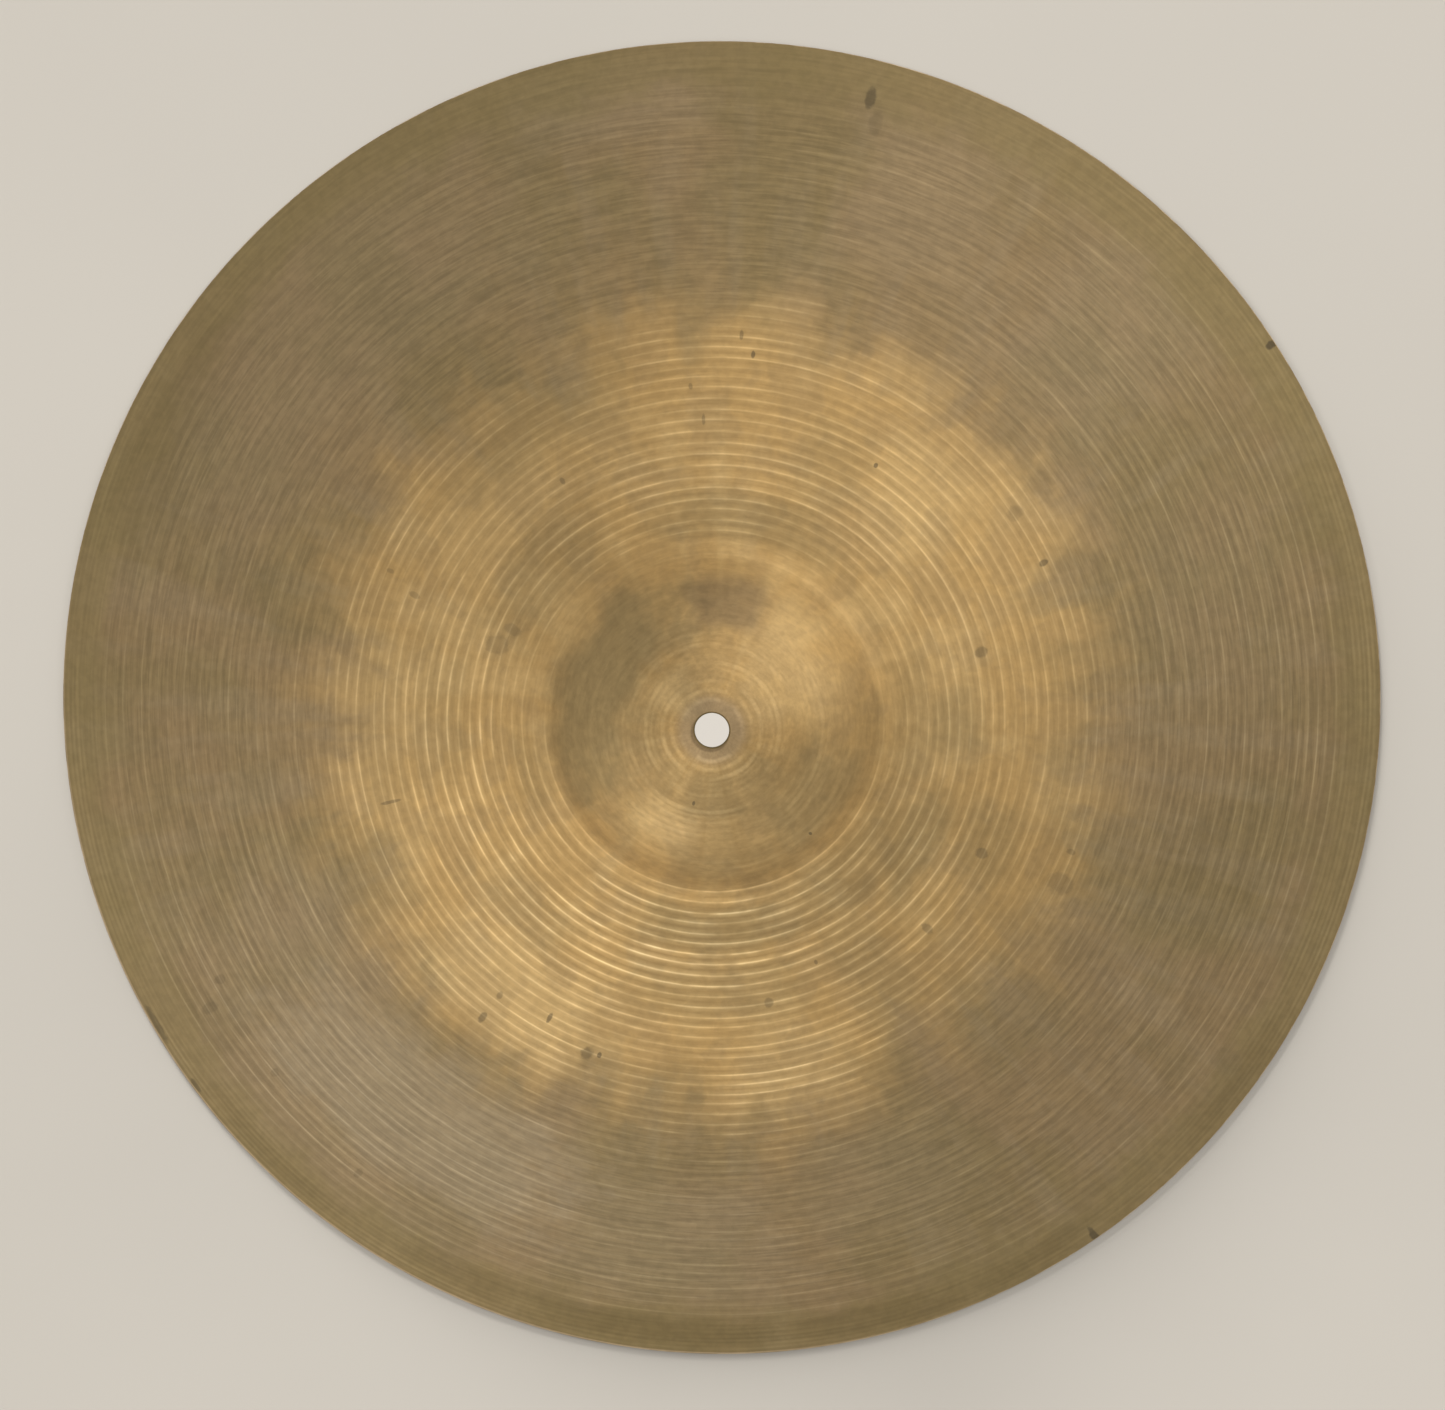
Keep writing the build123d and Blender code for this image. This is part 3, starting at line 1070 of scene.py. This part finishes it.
def low_light(scene, name, direction, strength, objects):
    """A low, soft light on the floor, which gives the disc its shadow there."""
    light = bpy.data.lights.new(name, "SUN")
    light.energy = strength
    light.angle = LOW_LIGHT_WIDTH
    light.color = (1.0, 0.98, 0.94)
    holder = bpy.data.objects.new(name, light)
    side, up = math.radians(direction), LOW_LIGHT_RISE
    source = Vector((math.cos(side) * math.cos(up), math.sin(side) * math.cos(up), math.sin(up)))
    holder.rotation_euler = source.to_track_quat("Z", "Y").to_euler()
    scene.collection.objects.link(holder)
    shines_on(holder, objects)


def floor_material(finish):
    """Pale matt sheet with a painted glow under the bell, so that the hole reads pale."""
    material, tree, shader = new_material("pale_floor")
    spot = use(tree, finish_groups()["place"])
    soft = use(tree, finish_groups()["cloud"], Place=spot["Place"], Size=0.4, Low=0.3, High=0.7)["Cloud"]
    dark = tuple(0.96 * c for c in finish.floor)
    feed(tree, shader.inputs["Base Color"], blend(tree, soft, dark, tuple(finish.floor)))
    shader.inputs["Roughness"].default_value = 0.9
    shader.inputs["Specular IOR Level"].default_value = 0.1
    # Painted glow: emission under the bell, which is no lamp, lights the floor seen through the hole.
    painted_glow = ramp(tree, spot["Radius"], 0.045, 0.02, 0.0, 0.66)
    tint = add(tree, "ShaderNodeCombineXYZ")
    for socket, warm in zip(tint.inputs, (1.0, 0.96, 0.89)):
        feed(tree, socket, maths(tree, "MULTIPLY", painted_glow, warm))
    feed(tree, shader.inputs["Emission Color"], tint.outputs[0])
    shader.inputs["Emission Strength"].default_value = 1.0

    # Clear from below, and inside the rim for all but the camera, so the lower face is lit.
    back = add(tree, "ShaderNodeNewGeometry").outputs["Backfacing"]
    seen = add(tree, "ShaderNodeLightPath").outputs["Is Camera Ray"]
    inside = maths(tree, "LESS_THAN", spot["Radius"], DISC_RADIUS + 1 * MM)
    open_inside = maths(tree, "MULTIPLY", inside, maths(tree, "SUBTRACT", 1.0, seen))
    clear = maths(tree, "MAXIMUM", back, open_inside)
    feed(tree, shader.inputs["Alpha"], maths(tree, "SUBTRACT", 1.0, clear))
    return material


class CYMBAL_OT_stage(bpy.types.Operator):
    """Lay the pale floor and set the light and the camera"""

    bl_idname = "cymbal.stage"
    bl_label = "Stage"

    def execute(self, context):
        scene = context.scene
        stage = scene.cymbal_stage
        half = FLOOR_HALF
        mesh = bpy.data.meshes.new("floor")
        mesh.from_pydata(
            [(-half, -half, 0), (half, -half, 0), (half, half, 0), (-half, half, 0)], [],
            [(0, 1, 2, 3)])
        floor = bpy.data.objects.new("floor", mesh)
        floor.location.z = -FLOOR_GAP
        mesh.materials.append(floor_material(scene.cymbal_finish))
        scene.collection.objects.link(floor)

        world = bpy.data.worlds.new("room")
        world.use_nodes = True
        background = next(n for n in world.node_tree.nodes if n.type == "BACKGROUND")
        background.inputs[0].default_value = (1.0, 0.975, 0.93, 1.0)
        background.inputs[1].default_value = stage.sky
        scene.world = world
        both = (floor, bpy.data.objects["bronze_disc"])
        window(scene, "window", (0.95, 1.0, 1.6), stage.key, (1.0, 0.97, 0.92), both)
        window(scene, "second_window", (-0.95, -1.05, 1.6), stage.side, (1.0, 0.96, 0.9), both)
        for name, direction, share in LOW_LIGHTS:
            low_light(scene, name, direction, share * stage.low_sun, (floor,))
        scene.view_settings.view_transform = "Standard"

        camera = bpy.data.cameras.new("camera")
        camera.lens = stage.lens
        camera.clip_start, camera.clip_end = 0.01, 50.0
        eye = bpy.data.objects.new("camera", camera)
        eye.location = stage.eye
        eye.rotation_euler = stage.lean
        scene.collection.objects.link(eye)
        scene.camera = eye
        return {"FINISHED"}


class CYMBAL_PT_panel(bpy.types.Panel):
    """Buttons and sizes of the cymbal"""

    bl_idname = "CYMBAL_PT_panel"
    bl_label = "Crash cymbal"
    bl_space_type = "VIEW_3D"
    bl_region_type = "UI"
    bl_category = "Cymbal"

    def draw(self, context):
        layout = self.layout
        for operator in OPERATORS:
            layout.operator(operator.bl_idname)
        for name in SETTINGS:
            group = getattr(context.scene, name)
            box = layout.box()
            for key in group.__annotations__:
                box.prop(group, key)


SETTINGS = {
    "cymbal_shape": CymbalShape,
    "cymbal_lathe": CymbalLathe,
    "cymbal_finish": CymbalFinish,
    "cymbal_stage": CymbalStage,
}
OPERATORS = (CYMBAL_OT_disc, CYMBAL_OT_stage)
CLASSES = (*SETTINGS.values(), *OPERATORS, CYMBAL_PT_panel)


def register():
    for cls in CLASSES:
        bpy.utils.register_class(cls)
    for name, group in SETTINGS.items():
        setattr(bpy.types.Scene, name, PointerProperty(type=group))


def unregister():
    for name in SETTINGS:
        delattr(bpy.types.Scene, name)
    for cls in reversed(CLASSES):
        bpy.utils.unregister_class(cls)


def main():
    register()
    bpy.ops.cymbal.disc()
    bpy.ops.cymbal.stage()


if __name__ == "__main__":
    main()
